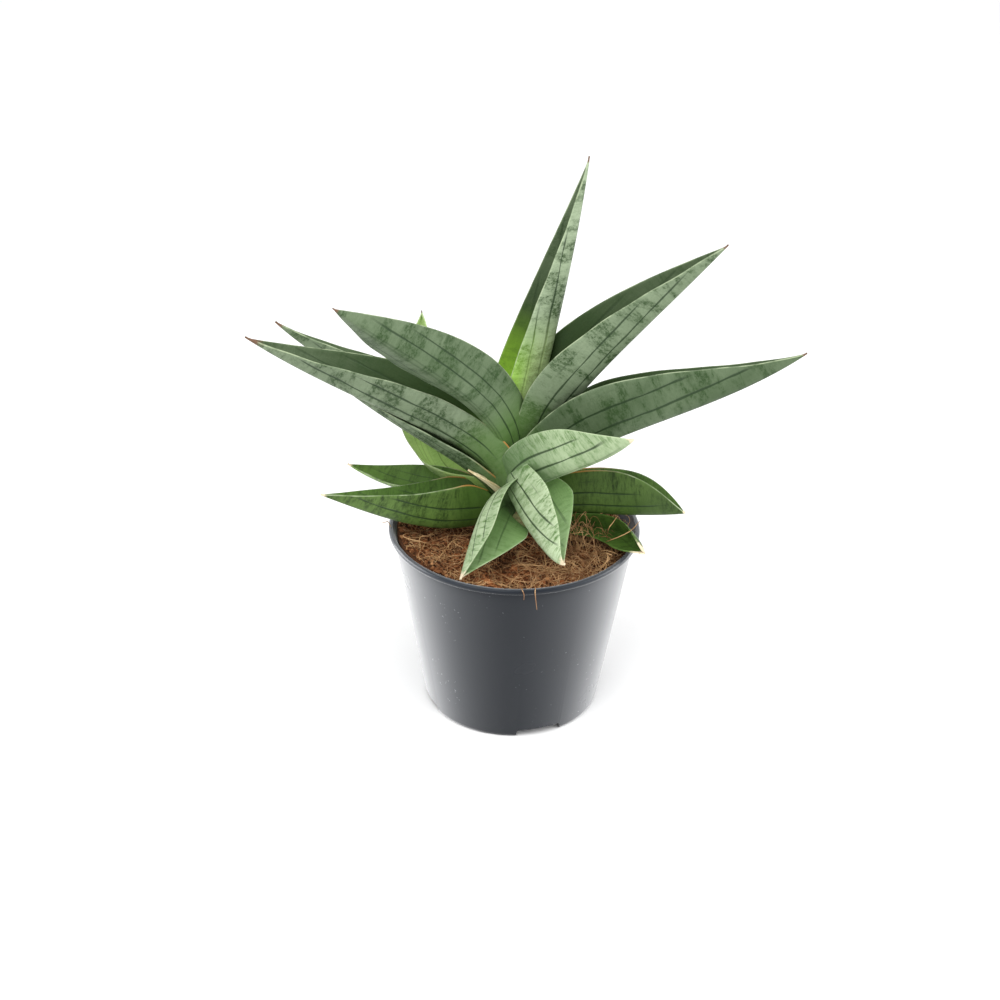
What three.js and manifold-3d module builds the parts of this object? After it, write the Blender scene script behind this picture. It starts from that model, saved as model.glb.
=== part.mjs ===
// A potted snake plant: a rosette of channelled, pointed leaves on a short stem,
// in coir soil in a round 12 cm nursery pot. Millimetres, +Z up, the pot stands on z = 0
// with its axis on Z. The front, towards a viewer, is -Y, and +X is on the viewer's right.

import * as THREE from 'three';
import Module from 'manifold-3d';

const wasm = await Module();
wasm.setup();
const { Manifold, Mesh } = wasm;

// Clearance kept between pieces that touch on the real plant
const GAP = 0.3;

// Pot: thin moulded plastic, tapered, with a flat lip and a drainage groove in its foot
const POT_SIDES = 40;
const RIM_RADIUS = 60;
const LIP_HEIGHT = 2.4;
const POT_HEIGHT = 94;
const NECK_RADIUS = 57.5;
const FOOT_RADIUS = 42.8;
const WALL = 1.3;
const FLOOR = 1.6;
const GROOVE_INNER = 24;
const GROOVE_OUTER = 36;
const GROOVE_HEIGHT = 4;
const GROOVE_DRAFT = 1.2;
const FOOT_ROUND = 1.6;
const LIP_ROUND = 0.7;
const LIP_INNER_RADIUS = 57.9;
const NECK_ROUND = 1.2;
const NOTCH_COUNT = 4;
const NOTCH_WIDTH = 22;
const NOTCH_CORNER = 1.6;
const NOTCH_BEARING = 289;
const DRAIN_COUNT = 8;
const DRAIN_RADIUS = 3.2;
const DRAIN_SIDES = 10;

// Soil: coir and bark, higher on the left and heaped a little round the stem
const SOIL_LEVEL = 89.8;
const SOIL_SLOPE = 0.062;
const SOIL_HEAP = 3.2;
const SOIL_HEAP_RADIUS = 20;
const SOIL_LUMP = 1.1;
const LUMP_COUNT = 9;
const SOIL_SIDES = 36;
const SOIL_RINGS = 10;
const SOIL_EDGE_DROP = 6;

// Coir fibres: strands that leave the soil and go in again, and a taller tuft at the right
const FIBRE_COUNT = 32;
const FIBRE_RADIUS = 0.55;
const FIBRE_SINK = 1.6;
const FIBRE_STEPS = 4;
const TUFT_CENTRE = [34, 4];
const TUFT_SPREAD = 8;
const TUFT_COUNT = 10;

// Stem: short and hidden, from a plain hole in the soil up into the crown
const STEM_FOOT = 62;
const STEM_TOP = 125;
const STEM_RADII = [[6.5, STEM_FOOT], [7, 90], [6.2, 102], [5.2, 113], [3.4, STEM_TOP - 3], [2, STEM_TOP]];
const STEM_SIDES = 20;
const STEM_HOLE = 7.6;

// Leaf blades: base, two handles and tip of the keel line; half is the widest half width,
// wide where along the leaf that is, foot the share of it at the base, point how full the
// tip is and blunt the half width of a tip that isn't sharp. fold is how steeply the halves
// rise from the keel and roll turns the channel about the keel, in degrees, at base, middle
// and tip. Inner, younger leaves come first.
const LEAVES = {
  leaf_heart: {
    path: [[3, 1, 118], [12, 5, 168], [25, 12, 222], [30, 16, 272]],
    half: 25, wide: 0.30, foot: 0.45, point: 1.25, thick: 3.5, rows: 16,
    fold: [75, 72, 65], roll: [-10, -22, -12], colour: 0x6f9160,
  },
  leaf_upper_right: {
    path: [[8, -1, 124], [17, -1, 158], [52, 0, 190], [92, 0, 238]],
    half: 29, wide: 0.36, foot: 0.4, point: 1.5, thick: 4, rows: 16,
    fold: [78, 74, 64], roll: [0, 0, 0], colour: 0x66866a,
  },
  leaf_upper_left: {
    path: [[-2, -7, 124], [-5, -19, 168], [-38, -36, 188], [-78, -50, 226]],
    half: 22, wide: 0.42, foot: 0.45, point: 1.7, thick: 4, rows: 16,
    fold: [60, 45, 40], roll: [10, 78, 70], colour: 0x6b8b6c,
  },
  leaf_back_left: {
    path: [[-3, 4, 114], [-28, 22, 140], [-80, 36, 145], [-116, 42, 178]],
    half: 21, wide: 0.45, foot: 0.5, point: 1.6, thick: 4, rows: 14,
    fold: [60, 56, 50], roll: [10, 25, 25], colour: 0x5f8060,
  },
  leaf_mid_right: {
    path: [[9, -6, 116], [28, -12, 149], [88, -10, 157], [130, -8, 190]],
    half: 31, wide: 0.34, foot: 0.6, point: 1.5, thick: 4, rows: 16,
    fold: [75, 72, 58], roll: [-12, -28, -22], colour: 0x5f7f62,
  },
  leaf_long_left: {
    path: [[-9, -3, 118], [-22, -2, 143], [-80, 0, 158], [-124, 0, 189]],
    half: 28, wide: 0.34, foot: 0.85, point: 1.4, thick: 4, rows: 16,
    fold: [78, 68, 58], roll: [0, 0, 0], colour: 0x63836a,
  },
  leaf_back: {
    path: [[-4, 4, 110], [-57, 48, 78], [-47, 57, 122], [-47, 62, 177]],
    half: 19, wide: 0.45, foot: 0.6, point: 1.6, thick: 3.6, rows: 14,
    fold: [60, 52, 48], roll: [0, 0, 0], colour: 0x7da85f,
  },
  leaf_under_left: {
    path: [[-7, -2, 105], [-17, -6, 128], [-44, 0, 135], [-78, 8, 158]],
    half: 13, wide: 0.38, foot: 0.9, point: 1.6, thick: 3.6, rows: 12,
    fold: [60, 50, 45], roll: [0, 10, 10], colour: 0x63836a,
  },
  leaf_front_right: {
    path: [[2, -13, 108], [5, -27, 137], [32, -30, 136], [52, -40, 161]],
    half: 25, wide: 0.5, foot: 0.95, point: 2, blunt: 1.2, thick: 4, rows: 14,
    fold: [60, 48, 40], roll: [-30, -40, -40], colour: 0x9dbb8b,
  },
  leaf_front_droop: {
    path: [[0, -9, 114], [-12, -15, 137], [12, -40, 95], [23, -51, 102.6]],
    half: 28, wide: 0.45, foot: 0.3, point: 1.42, blunt: 1.2, thick: 4, rows: 16,
    fold: [84, 62, 75], roll: [-54, -14, -57], colour: 0xa5c593,
  },
  leaf_front_folded: {
    path: [[-3, -8, 106], [-10, -17, 130], [-18, -28, 109], [-24.5, -51, 93.8]],
    half: 24, wide: 0.5, foot: 0.45, point: 1.35, blunt: 1.2, thick: 3.6, rows: 14,
    fold: [45, 70, 78], roll: [-90, -66, -66], colour: 0xa5c593,
  },
  leaf_low_left_back: {
    path: [[-6, 3, 100], [-31, 17, 100], [-57, 23, 94], [-82, 27, 110]],
    half: 16, wide: 0.45, foot: 0.6, point: 1.8, thick: 3.6, rows: 14,
    fold: [50, 42, 35], roll: [0, 0, 0], colour: 0x5d8b3c,
  },
  leaf_low_left_front: {
    path: [[-6, -3, 102], [-28, -13, 88], [-64, -18, 107], [-90, -20, 119]],
    half: 28, wide: 0.26, foot: 0.85, point: 1.5, thick: 3.8, rows: 14,
    fold: [70, 60, 50], roll: [20, 20, 20], colour: 0x4c7339,
  },
  leaf_low_right: {
    path: [[6, -2, 102], [34, -5, 104], [60, -9, 104], [80, -13, 109]],
    half: 26, wide: 0.50, foot: 0.65, point: 2.6, thick: 4, rows: 14,
    fold: [72, 70, 55], roll: [-22, -28, -24], colour: 0x4d7440,
  },
  leaf_over_rim: {
    path: [[6, 1, 95], [36, -5, 95], [54, 4, 93], [61, -31, 97.5]],
    half: 14.5, wide: 0.75, foot: 0.4, point: 3.6, blunt: 3, thick: 4.5, rows: 14,
    fold: [66, 74, 70], roll: [46, 58, 58], colour: 0x4b6c38,
  },
  scale_leaf: {
    path: [[-6, -13, 115], [-11, -20, 127], [-17, -21, 131], [-25, -19, 136]],
    half: 6, wide: 0.35, foot: 0.9, point: 1.5, thick: 1.4, rows: 8,
    fold: [40, 40, 30], roll: [0, 10, 10], colour: 0xc9b98d,
  },
};
const COLUMNS = 4;
const MARGIN_THICKNESS = 0.8;
const TIP_HALF_WIDTH = 0.5;
const CLASP_ANGLE = 110;
const CLASP_LENGTH = 0.1;
const KEEL_SHARPNESS = 7;

const degrees = THREE.MathUtils.degToRad;

// The same random numbers on every run, from 0 to 1
function seededRandom(seed) {
  let state = seed;
  return () => {
    state = (state * 1664525 + 1013904223) % 4294967296;
    return state / 4294967296;
  };
}

// A smooth value from three numbers spread over 0 to 1: start, pull and end
function blend3([start, pull, end], t) {
  return (1 - t) ** 2 * start + 2 * t * (1 - t) * pull + t * t * end;
}

function solidOf(positions, triangles) {
  return new Manifold(new Mesh({
    numProp: 3,
    vertProperties: new Float32Array(positions.flat()),
    triVerts: new Uint32Array(triangles.flat()),
  }));
}

// A three.js geometry as a solid, its coincident points joined
function solidFrom(geometry) {
  const source = geometry.index ? geometry.toNonIndexed() : geometry;
  const place = source.attributes.position;
  const known = new Map();
  const positions = [];
  const corners = [];
  for (let i = 0; i < place.count; i += 1) {
    const point = [place.getX(i), place.getY(i), place.getZ(i)];
    const key = point.map((value) => Math.round(value * 1e4)).join();
    if (!known.has(key)) {
      known.set(key, positions.length);
      positions.push(point);
    }
    corners.push(known.get(key));
  }
  const triangles = [];
  for (let i = 0; i < corners.length; i += 3) {
    const [a, b, c] = corners.slice(i, i + 3);
    if (a !== b && b !== c && c !== a) {
      triangles.push([a, b, c]);
    }
  }
  return solidOf(positions, triangles);
}

function geometryOf(solid) {
  const mesh = solid.getMesh();
  const geometry = new THREE.BufferGeometry();
  geometry.setAttribute('position', new THREE.BufferAttribute(new Float32Array(mesh.vertProperties), 3));
  geometry.setIndex(new THREE.BufferAttribute(new Uint32Array(mesh.triVerts), 1));
  geometry.computeVertexNormals();
  return geometry;
}

function largestPiece(solid) {
  return solid.decompose().reduce((best, piece) => (piece.volume() > best.volume() ? piece : best));
}

// A solid of revolution about Z from [radius, height] points that start and end on the axis
function turned(points, sides) {
  const profile = points.map(([radius, height]) => new THREE.Vector2(radius, height));
  const geometry = new THREE.LatheGeometry(profile, sides);
  geometry.rotateX(Math.PI / 2);
  return solidFrom(geometry);
}

// Pot
function potSolid() {
  const lipBottom = POT_HEIGHT - LIP_HEIGHT;
  const grooveTop = GROOVE_HEIGHT + FLOOR;
  const raisedEdge = GROOVE_INNER - FLOOR;
  const innerFoot = FOOT_RADIUS - WALL;
  const pot = turned([
    [0, 0], [GROOVE_INNER - GROOVE_DRAFT, 0],
    [GROOVE_INNER, GROOVE_HEIGHT], [GROOVE_OUTER, GROOVE_HEIGHT], [GROOVE_OUTER + GROOVE_DRAFT, 0],
    [FOOT_RADIUS - FOOT_ROUND, 0], [FOOT_RADIUS - 0.25 * FOOT_ROUND, 0.3 * FOOT_ROUND],
    [FOOT_RADIUS, FOOT_ROUND],
    [NECK_RADIUS, lipBottom - NECK_ROUND], [NECK_RADIUS + 0.7 * NECK_ROUND, lipBottom + 0.4],
    [RIM_RADIUS - 2 * LIP_ROUND, lipBottom + LIP_ROUND], [RIM_RADIUS - 1.4 * LIP_ROUND, lipBottom],
    [RIM_RADIUS - 0.3 * LIP_ROUND, lipBottom], [RIM_RADIUS, lipBottom + LIP_ROUND],
    [RIM_RADIUS, POT_HEIGHT - LIP_ROUND], [RIM_RADIUS - LIP_ROUND, POT_HEIGHT],
    [LIP_INNER_RADIUS, POT_HEIGHT], [LIP_INNER_RADIUS - 0.5 * NECK_ROUND, POT_HEIGHT - WALL],
    [NECK_RADIUS - WALL, POT_HEIGHT - 4 * WALL],
    [innerFoot + 0.5 * FOOT_ROUND, grooveTop + FOOT_ROUND], [innerFoot - 0.5 * FOOT_ROUND, grooveTop],
    [raisedEdge, grooveTop], [raisedEdge - GROOVE_DRAFT, FLOOR], [0, FLOOR],
  ], POT_SIDES);
  const tools = [];
  for (let i = 0; i < NOTCH_COUNT; i += 1) {
    tools.push(notchTool(degrees(NOTCH_BEARING + (i * 360) / NOTCH_COUNT)));
  }
  for (let i = 0; i < DRAIN_COUNT; i += 1) {
    tools.push(drainTool(((i + 0.5) * 2 * Math.PI) / DRAIN_COUNT));
  }
  return pot.subtract(Manifold.union(tools));
}

// The space that one foot notch leaves, with rounded upper corners, out to a bearing
function notchTool(bearing) {
  const half = NOTCH_WIDTH / 2;
  const below = -FLOOR;
  const shape = new THREE.Shape();
  shape.moveTo(-half, below);
  shape.lineTo(half, below);
  shape.lineTo(half, GROOVE_HEIGHT - NOTCH_CORNER);
  shape.quadraticCurveTo(half, GROOVE_HEIGHT, half - NOTCH_CORNER, GROOVE_HEIGHT);
  shape.lineTo(NOTCH_CORNER - half, GROOVE_HEIGHT);
  shape.quadraticCurveTo(-half, GROOVE_HEIGHT, -half, GROOVE_HEIGHT - NOTCH_CORNER);
  shape.closePath();
  const depth = FOOT_RADIUS - GROOVE_OUTER + 2 * FLOOR;
  const geometry = new THREE.ExtrudeGeometry(shape, { depth, bevelEnabled: false, curveSegments: 3 });
  geometry.rotateX(Math.PI / 2);
  geometry.rotateZ(Math.PI);
  geometry.translate(0, GROOVE_OUTER - GAP, 0);
  geometry.rotateZ(bearing - Math.PI / 2);
  return solidFrom(geometry);
}

function drainTool(bearing) {
  const middle = (GROOVE_INNER + GROOVE_OUTER) / 2;
  const geometry = new THREE.CylinderGeometry(DRAIN_RADIUS, DRAIN_RADIUS, 4 * FLOOR, DRAIN_SIDES);
  geometry.rotateX(Math.PI / 2);
  geometry.translate(middle * Math.cos(bearing), middle * Math.sin(bearing), GROOVE_HEIGHT + FLOOR / 2);
  return solidFrom(geometry);
}

// The stem, its faces moved out by grow to leave room round it
function stemSolid(grow) {
  const side = STEM_RADII.map(([radius, height]) => [radius + grow, height]);
  return turned([
    [0, STEM_FOOT - grow], [STEM_RADII[0][0] + grow, STEM_FOOT - grow], ...side.slice(1, -1),
    [STEM_RADII.at(-1)[0] + grow, STEM_TOP + grow], [0, STEM_TOP + grow],
  ], STEM_SIDES);
}

// The half width of a leaf at a share t of its length
function halfWidth(leaf, t) {
  const { half, wide, foot, point } = leaf;
  const share = t < wide
    ? foot + (1 - foot) * Math.sin((Math.PI / 2) * (t / wide))
    : 1 - ((t - wide) / (1 - wide)) ** point;
  return Math.max(half * share, leaf.blunt ?? TIP_HALF_WIDTH);
}

// One cross-section: [across, up] of the outer face and its slope, from keel to margin
function halfSection(leaf, t, width) {
  const clasp = Math.exp(-t / CLASP_LENGTH);
  const fold = degrees(blend3(leaf.fold, t));
  const steps = 6;
  const points = [];
  let across = 0;
  let up = 0;
  const slope = (u) => (1 - clasp) * fold * (1 - Math.exp(-KEEL_SHARPNESS * u))
    + clasp * degrees(CLASP_ANGLE) * u;
  for (let j = 0; j <= COLUMNS; j += 1) {
    points.push({ across, up, slope: slope(j / COLUMNS), u: j / COLUMNS });
    for (let k = 0; k < steps; k += 1) {
      const angle = slope((j + (k + 0.5) / steps) / COLUMNS);
      across += (width * Math.cos(angle)) / (COLUMNS * steps);
      up += (width * Math.sin(angle)) / (COLUMNS * steps);
    }
  }
  return points;
}

// A leaf as a closed blade, its faces moved out by grow to leave room round it
function leafSolid(leaf, grow) {
  const curve = new THREE.CubicBezierCurve3(...leaf.path.map((point) => new THREE.Vector3(...point)));
  const across = 2 * COLUMNS + 1;
  const positions = [];
  for (let i = 0; i < leaf.rows; i += 1) {
    const t = i / (leaf.rows - 1);
    const along = curve.getTangentAt(t);
    const keel = curve.getPointAt(t);
    const end = i === 0 ? -grow : grow;
    if (i === 0 || i === leaf.rows - 1) {
      keel.addScaledVector(along, end);
    }
    const up = new THREE.Vector3(0, 0, 1).addScaledVector(along, -along.z).normalize();
    const side = new THREE.Vector3().crossVectors(along, up);
    const roll = degrees(blend3(leaf.roll, t));
    const face = up.clone().multiplyScalar(Math.cos(roll)).addScaledVector(side, Math.sin(roll));
    const lateral = new THREE.Vector3().crossVectors(along, face);
    const section = halfSection(leaf, t, halfWidth(leaf, t) + grow);
    const body = leaf.thick * Math.max(1.15 - 0.95 * t, 0.2);
    const outer = [];
    const inner = [];
    for (let j = -COLUMNS; j <= COLUMNS; j += 1) {
      const sign = Math.sign(j);
      const point = section[Math.abs(j)];
      const thickness = Math.max(body * (1 - 0.8 * point.u ** 1.5), MARGIN_THICKNESS);
      const normal = face.clone().multiplyScalar(Math.cos(point.slope))
        .addScaledVector(lateral, -sign * Math.sin(point.slope));
      const base = keel.clone().addScaledVector(lateral, sign * point.across)
        .addScaledVector(face, point.up);
      outer.push(base.clone().addScaledVector(normal, -grow).toArray());
      inner.push(base.clone().addScaledVector(normal, thickness + grow).toArray());
    }
    positions.push(...outer, ...inner);
  }
  const at = (i, j, layer) => (2 * i + layer) * across + j;
  const triangles = [];
  const quad = (a, b, c, d) => triangles.push([a, c, b], [a, d, c]);
  for (let i = 0; i < leaf.rows - 1; i += 1) {
    for (let j = 0; j < across - 1; j += 1) {
      quad(at(i, j, 0), at(i, j + 1, 0), at(i + 1, j + 1, 0), at(i + 1, j, 0));
      quad(at(i, j + 1, 1), at(i, j, 1), at(i + 1, j, 1), at(i + 1, j + 1, 1));
    }
    quad(at(i, 0, 1), at(i, 0, 0), at(i + 1, 0, 0), at(i + 1, 0, 1));
    quad(at(i, across - 1, 0), at(i, across - 1, 1), at(i + 1, across - 1, 1), at(i + 1, across - 1, 0));
  }
  const last = leaf.rows - 1;
  for (let j = 0; j < across - 1; j += 1) {
    quad(at(0, j + 1, 0), at(0, j, 0), at(0, j, 1), at(0, j + 1, 1));
    quad(at(last, j, 0), at(last, j + 1, 0), at(last, j + 1, 1), at(last, j, 1));
  }
  return solidOf(positions, triangles);
}

// Each leaf gives way to the stem and to the younger leaves that it clasps
function leafSolids(potRoom) {
  let taken = Manifold.union([stemSolid(GAP), potRoom]);
  const solids = {};
  for (const [name, leaf] of Object.entries(LEAVES)) {
    solids[name] = largestPiece(leafSolid(leaf, 0).subtract(taken));
    taken = taken.add(leafSolid(leaf, GAP));
  }
  return { solids, taken };
}

// Waves of random direction and length whose sum makes the soil's top uneven
const lumps = [];
const lumpRandom = seededRandom(11);
for (let i = 0; i < LUMP_COUNT; i += 1) {
  const bearing = lumpRandom() * 2 * Math.PI;
  const pitch = 0.12 + 0.3 * lumpRandom();
  lumps.push([Math.cos(bearing) * pitch, Math.sin(bearing) * pitch, lumpRandom() * 2 * Math.PI]);
}

function soilHeight(x, y) {
  const radius = Math.hypot(x, y);
  const heap = SOIL_HEAP * Math.exp(-((radius / SOIL_HEAP_RADIUS) ** 2));
  const lump = lumps.reduce((sum, [a, b, phase]) => sum + Math.sin(a * x + b * y + phase), 0);
  return SOIL_LEVEL - SOIL_SLOPE * x + heap + (SOIL_LUMP * lump) / Math.sqrt(lumps.length);
}

// The soil without fibres: a plug that fills the pot up to its uneven top
function soilBody() {
  const wallTop = SOIL_LEVEL - SOIL_EDGE_DROP;
  const inside = (height) => FOOT_RADIUS - WALL - GAP
    + ((NECK_RADIUS - FOOT_RADIUS) * height) / (POT_HEIGHT - LIP_HEIGHT);
  const floorHeight = GROOVE_HEIGHT + FLOOR + GAP;
  const rim = inside(wallTop) - GAP;
  const positions = [];
  const triangles = [];
  const ring = (radius, height) => {
    for (let i = 0; i < SOIL_SIDES; i += 1) {
      const bearing = (i * 2 * Math.PI) / SOIL_SIDES;
      const x = radius * Math.cos(bearing);
      const y = radius * Math.sin(bearing);
      positions.push([x, y, height ?? soilHeight(x, y)]);
    }
  };
  const join = (low, high) => {
    for (let i = 0; i < SOIL_SIDES; i += 1) {
      const next = (i + 1) % SOIL_SIDES;
      const [a, b] = [low * SOIL_SIDES + i, low * SOIL_SIDES + next];
      const [c, d] = [high * SOIL_SIDES + next, high * SOIL_SIDES + i];
      triangles.push([a, b, c], [a, c, d]);
    }
  };
  ring(FOOT_RADIUS - 3 * WALL, floorHeight);
  ring(inside(floorHeight + FOOT_ROUND) - GAP, floorHeight + FOOT_ROUND);
  ring(rim, wallTop);
  for (let i = 0; i < SOIL_RINGS; i += 1) {
    ring(rim * (1 - i / SOIL_RINGS));
  }
  const rings = SOIL_RINGS + 3;
  for (let i = 0; i < rings - 1; i += 1) {
    join(i, i + 1);
  }
  const bottom = positions.push([0, 0, floorHeight]) - 1;
  const top = positions.push([0, 0, soilHeight(0, 0)]) - 1;
  for (let i = 0; i < SOIL_SIDES; i += 1) {
    const next = (i + 1) % SOIL_SIDES;
    triangles.push([bottom, next, i]);
    triangles.push([top, (rings - 1) * SOIL_SIDES + i, (rings - 1) * SOIL_SIDES + next]);
  }
  return solidOf(positions, triangles);
}

// A coir fibre: a three-sided strand that leaves the soil, arches and goes in again
function fibreSolid(random, x, y, length, rise) {
  const bearing = random() * 2 * Math.PI;
  const bend = (random() - 0.5) * 1.2;
  const start = new THREE.Vector3(x, y, soilHeight(x, y) - FIBRE_SINK);
  const endX = x + length * Math.cos(bearing);
  const endY = y + length * Math.sin(bearing);
  const end = new THREE.Vector3(endX, endY, soilHeight(endX, endY) - FIBRE_SINK);
  const middle = start.clone().lerp(end, 0.5);
  middle.x -= Math.sin(bearing) * length * bend * 0.5;
  middle.y += Math.cos(bearing) * length * bend * 0.5;
  middle.z = soilHeight(middle.x, middle.y) + rise;
  const curve = new THREE.QuadraticBezierCurve3(start, middle, end);
  const section = new THREE.Shape();
  for (let i = 0; i < 3; i += 1) {
    const angle = (i * 2 * Math.PI) / 3;
    const [px, py] = [FIBRE_RADIUS * Math.cos(angle), FIBRE_RADIUS * Math.sin(angle)];
    if (i === 0) {
      section.moveTo(px, py);
    } else {
      section.lineTo(px, py);
    }
  }
  section.closePath();
  return solidFrom(new THREE.ExtrudeGeometry(section, { steps: FIBRE_STEPS, extrudePath: curve }));
}

// The soil with its fibres, clear of the pot's wall, the stem and the leaves
function soilSolid(taken) {
  const random = seededRandom(5);
  const fibres = [];
  const inner = 2 * STEM_HOLE;
  const reach = NECK_RADIUS - 10;
  for (let i = 0; i < FIBRE_COUNT; i += 1) {
    const bearing = random() * 2 * Math.PI;
    const radius = inner + (reach - inner) * Math.sqrt(random());
    const [x, y] = [radius * Math.cos(bearing), radius * Math.sin(bearing)];
    const length = 9 + 9 * random();
    fibres.push(fibreSolid(random, x, y, length, 3 + 2 * random()));
  }
  for (let i = 0; i < TUFT_COUNT; i += 1) {
    const x = TUFT_CENTRE[0] + TUFT_SPREAD * (random() - 0.5);
    const y = TUFT_CENTRE[1] + TUFT_SPREAD * (random() - 0.5);
    const length = 6 + 5 * random();
    fibres.push(fibreSolid(random, x, y, length, 9 + 9 * random()));
  }
  const wall = NECK_RADIUS - WALL - 1;
  const below = POT_HEIGHT - 8;
  const outside = turned([
    [0, 0], [2 * wall, 0], [2 * wall, 2 * POT_HEIGHT], [wall, 2 * POT_HEIGHT], [wall, below], [0, below],
  ], POT_SIDES);
  const depth = POT_HEIGHT + GAP - STEM_FOOT;
  const hole = new THREE.CylinderGeometry(STEM_HOLE, STEM_HOLE, depth, STEM_SIDES);
  hole.rotateX(Math.PI / 2);
  hole.translate(0, 0, STEM_FOOT - GAP + depth / 2);
  const strands = Manifold.union(fibres).subtract(outside);
  const soil = soilBody().add(strands).subtract(solidFrom(hole)).subtract(taken);
  return largestPiece(soil);
}

function meshOf(name, solid, colour, roughness) {
  const material = new THREE.MeshStandardMaterial({ color: colour, roughness, metalness: 0 });
  const mesh = new THREE.Mesh(geometryOf(solid), material);
  mesh.name = name;
  return mesh;
}

const plant = new THREE.Group();
const pot = potSolid();
plant.add(meshOf('pot', pot, 0x3d4147, 0.4));
plant.add(meshOf('stem', stemSolid(0), 0x8a8f5c, 0.7));
const { solids, taken } = leafSolids(pot);
for (const [name, solid] of Object.entries(solids)) {
  plant.add(meshOf(name, solid, LEAVES[name].colour, 0.45));
}
plant.add(meshOf('soil', soilSolid(taken), 0x6b4a30, 0.95));

export default plant;
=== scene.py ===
"""A potted snake plant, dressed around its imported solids.

Everything is in metres, with +Z up. The pot stands on z = 0 with its axis on Z, the front is -Y.
Sizes that the solids share with this script are written in millimetres and scaled by MM.
"""

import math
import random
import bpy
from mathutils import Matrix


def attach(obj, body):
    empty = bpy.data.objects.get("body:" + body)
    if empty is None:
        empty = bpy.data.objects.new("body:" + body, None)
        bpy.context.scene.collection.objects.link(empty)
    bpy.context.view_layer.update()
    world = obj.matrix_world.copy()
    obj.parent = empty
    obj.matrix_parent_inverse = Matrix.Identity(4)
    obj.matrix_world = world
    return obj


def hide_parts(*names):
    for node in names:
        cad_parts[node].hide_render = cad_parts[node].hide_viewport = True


bl_info = {
    "name": "Potted snake plant",
    "version": (1, 0, 0),
    "blender": (4, 5, 0),
    "location": "View3D > Sidebar > Snake plant",
    "description": "Builds a potted snake plant with banded leaves, coir soil and a nursery pot",
    "category": "Object",
}

import bpy
import numpy as np
from mathutils import Matrix, Vector, noise

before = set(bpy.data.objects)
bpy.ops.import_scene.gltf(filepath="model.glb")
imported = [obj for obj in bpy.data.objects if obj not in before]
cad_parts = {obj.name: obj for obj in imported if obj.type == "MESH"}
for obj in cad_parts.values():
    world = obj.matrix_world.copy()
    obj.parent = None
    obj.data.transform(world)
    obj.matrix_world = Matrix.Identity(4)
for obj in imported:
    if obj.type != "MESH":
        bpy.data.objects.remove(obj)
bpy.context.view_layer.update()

MM = 0.001
TAU = 2 * math.pi

# Pot
RIM_RADIUS = 60
LIP_HEIGHT = 2.4
POT_HEIGHT = 94
NECK_RADIUS = 57.5
FOOT_RADIUS = 42.8
WALL = 1.3
FLOOR = 1.6
GROOVE_INNER = 24
GROOVE_OUTER = 36
GROOVE_HEIGHT = 4
GROOVE_DRAFT = 1.2
FOOT_ROUND = 1.6
LIP_ROUND = 0.7
LIP_INNER_RADIUS = 57.9
NECK_ROUND = 1.2
NOTCH_COUNT = 4
NOTCH_WIDTH = 22
NOTCH_CORNER = 1.6
NOTCH_BEARING = 289
NOTCH_OVERCUT = 3
NOTCH_INSET = 0.3
DRAIN_COUNT = 8
DRAIN_RADIUS = 3.2
POT_STEPS = 192
POT_ROUND = 0.22
POT_CREASE = math.radians(40)

# Soil
SOIL_LEVEL = 89.8
SOIL_SLOPE = 0.062
SOIL_HEAP = 3.2
SOIL_HEAP_RADIUS = 20
SOIL_LUMP = 1.1
LUMP_COUNT = 9
LUMP_SEED = 11
SOIL_RADIUS = 56
SOIL_RINGS = 70
SOIL_STEPS = 180
SOIL_SHOULDER = (1.2, 6)
SOIL_GAP = 0.3
BED_DROP = 1.3

# Stem, which starts in the soil: radius and height of its rings
STEM_STEPS = 48
STEM_ROUND = 0.4
STEM_CREASE = math.radians(50)
STEM_FOOT = 62
STEM_RADII = ((6.5, 62), (7, 90), (6.2, 102), (5.2, 113), (3.4, 122), (2, 125))

# Leaf section
CLASP_ANGLE = 110
CLASP_LENGTH = 0.1
KEEL_SHARPNESS = 7
MARGIN_THICKNESS = 0.8
ROUND_FROM = 0.92
TIP_HALF_WIDTH = 0.5
HALF_COLUMNS = 24
SECTION_STEPS = 6
CURVE_STEPS = 600
RIPPLE_LENGTHS = (5.2, 13)


def leaf(**own):
    """A blade's own values, over those that most blades share"""
    common = dict(
        roll=(0, 0, 0), thick=4, blunt=TIP_HALF_WIDTH, glow=0, sheath=0.1, wave=0.4, low=0.36,
        bare=0,
    )
    return common | own


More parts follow.
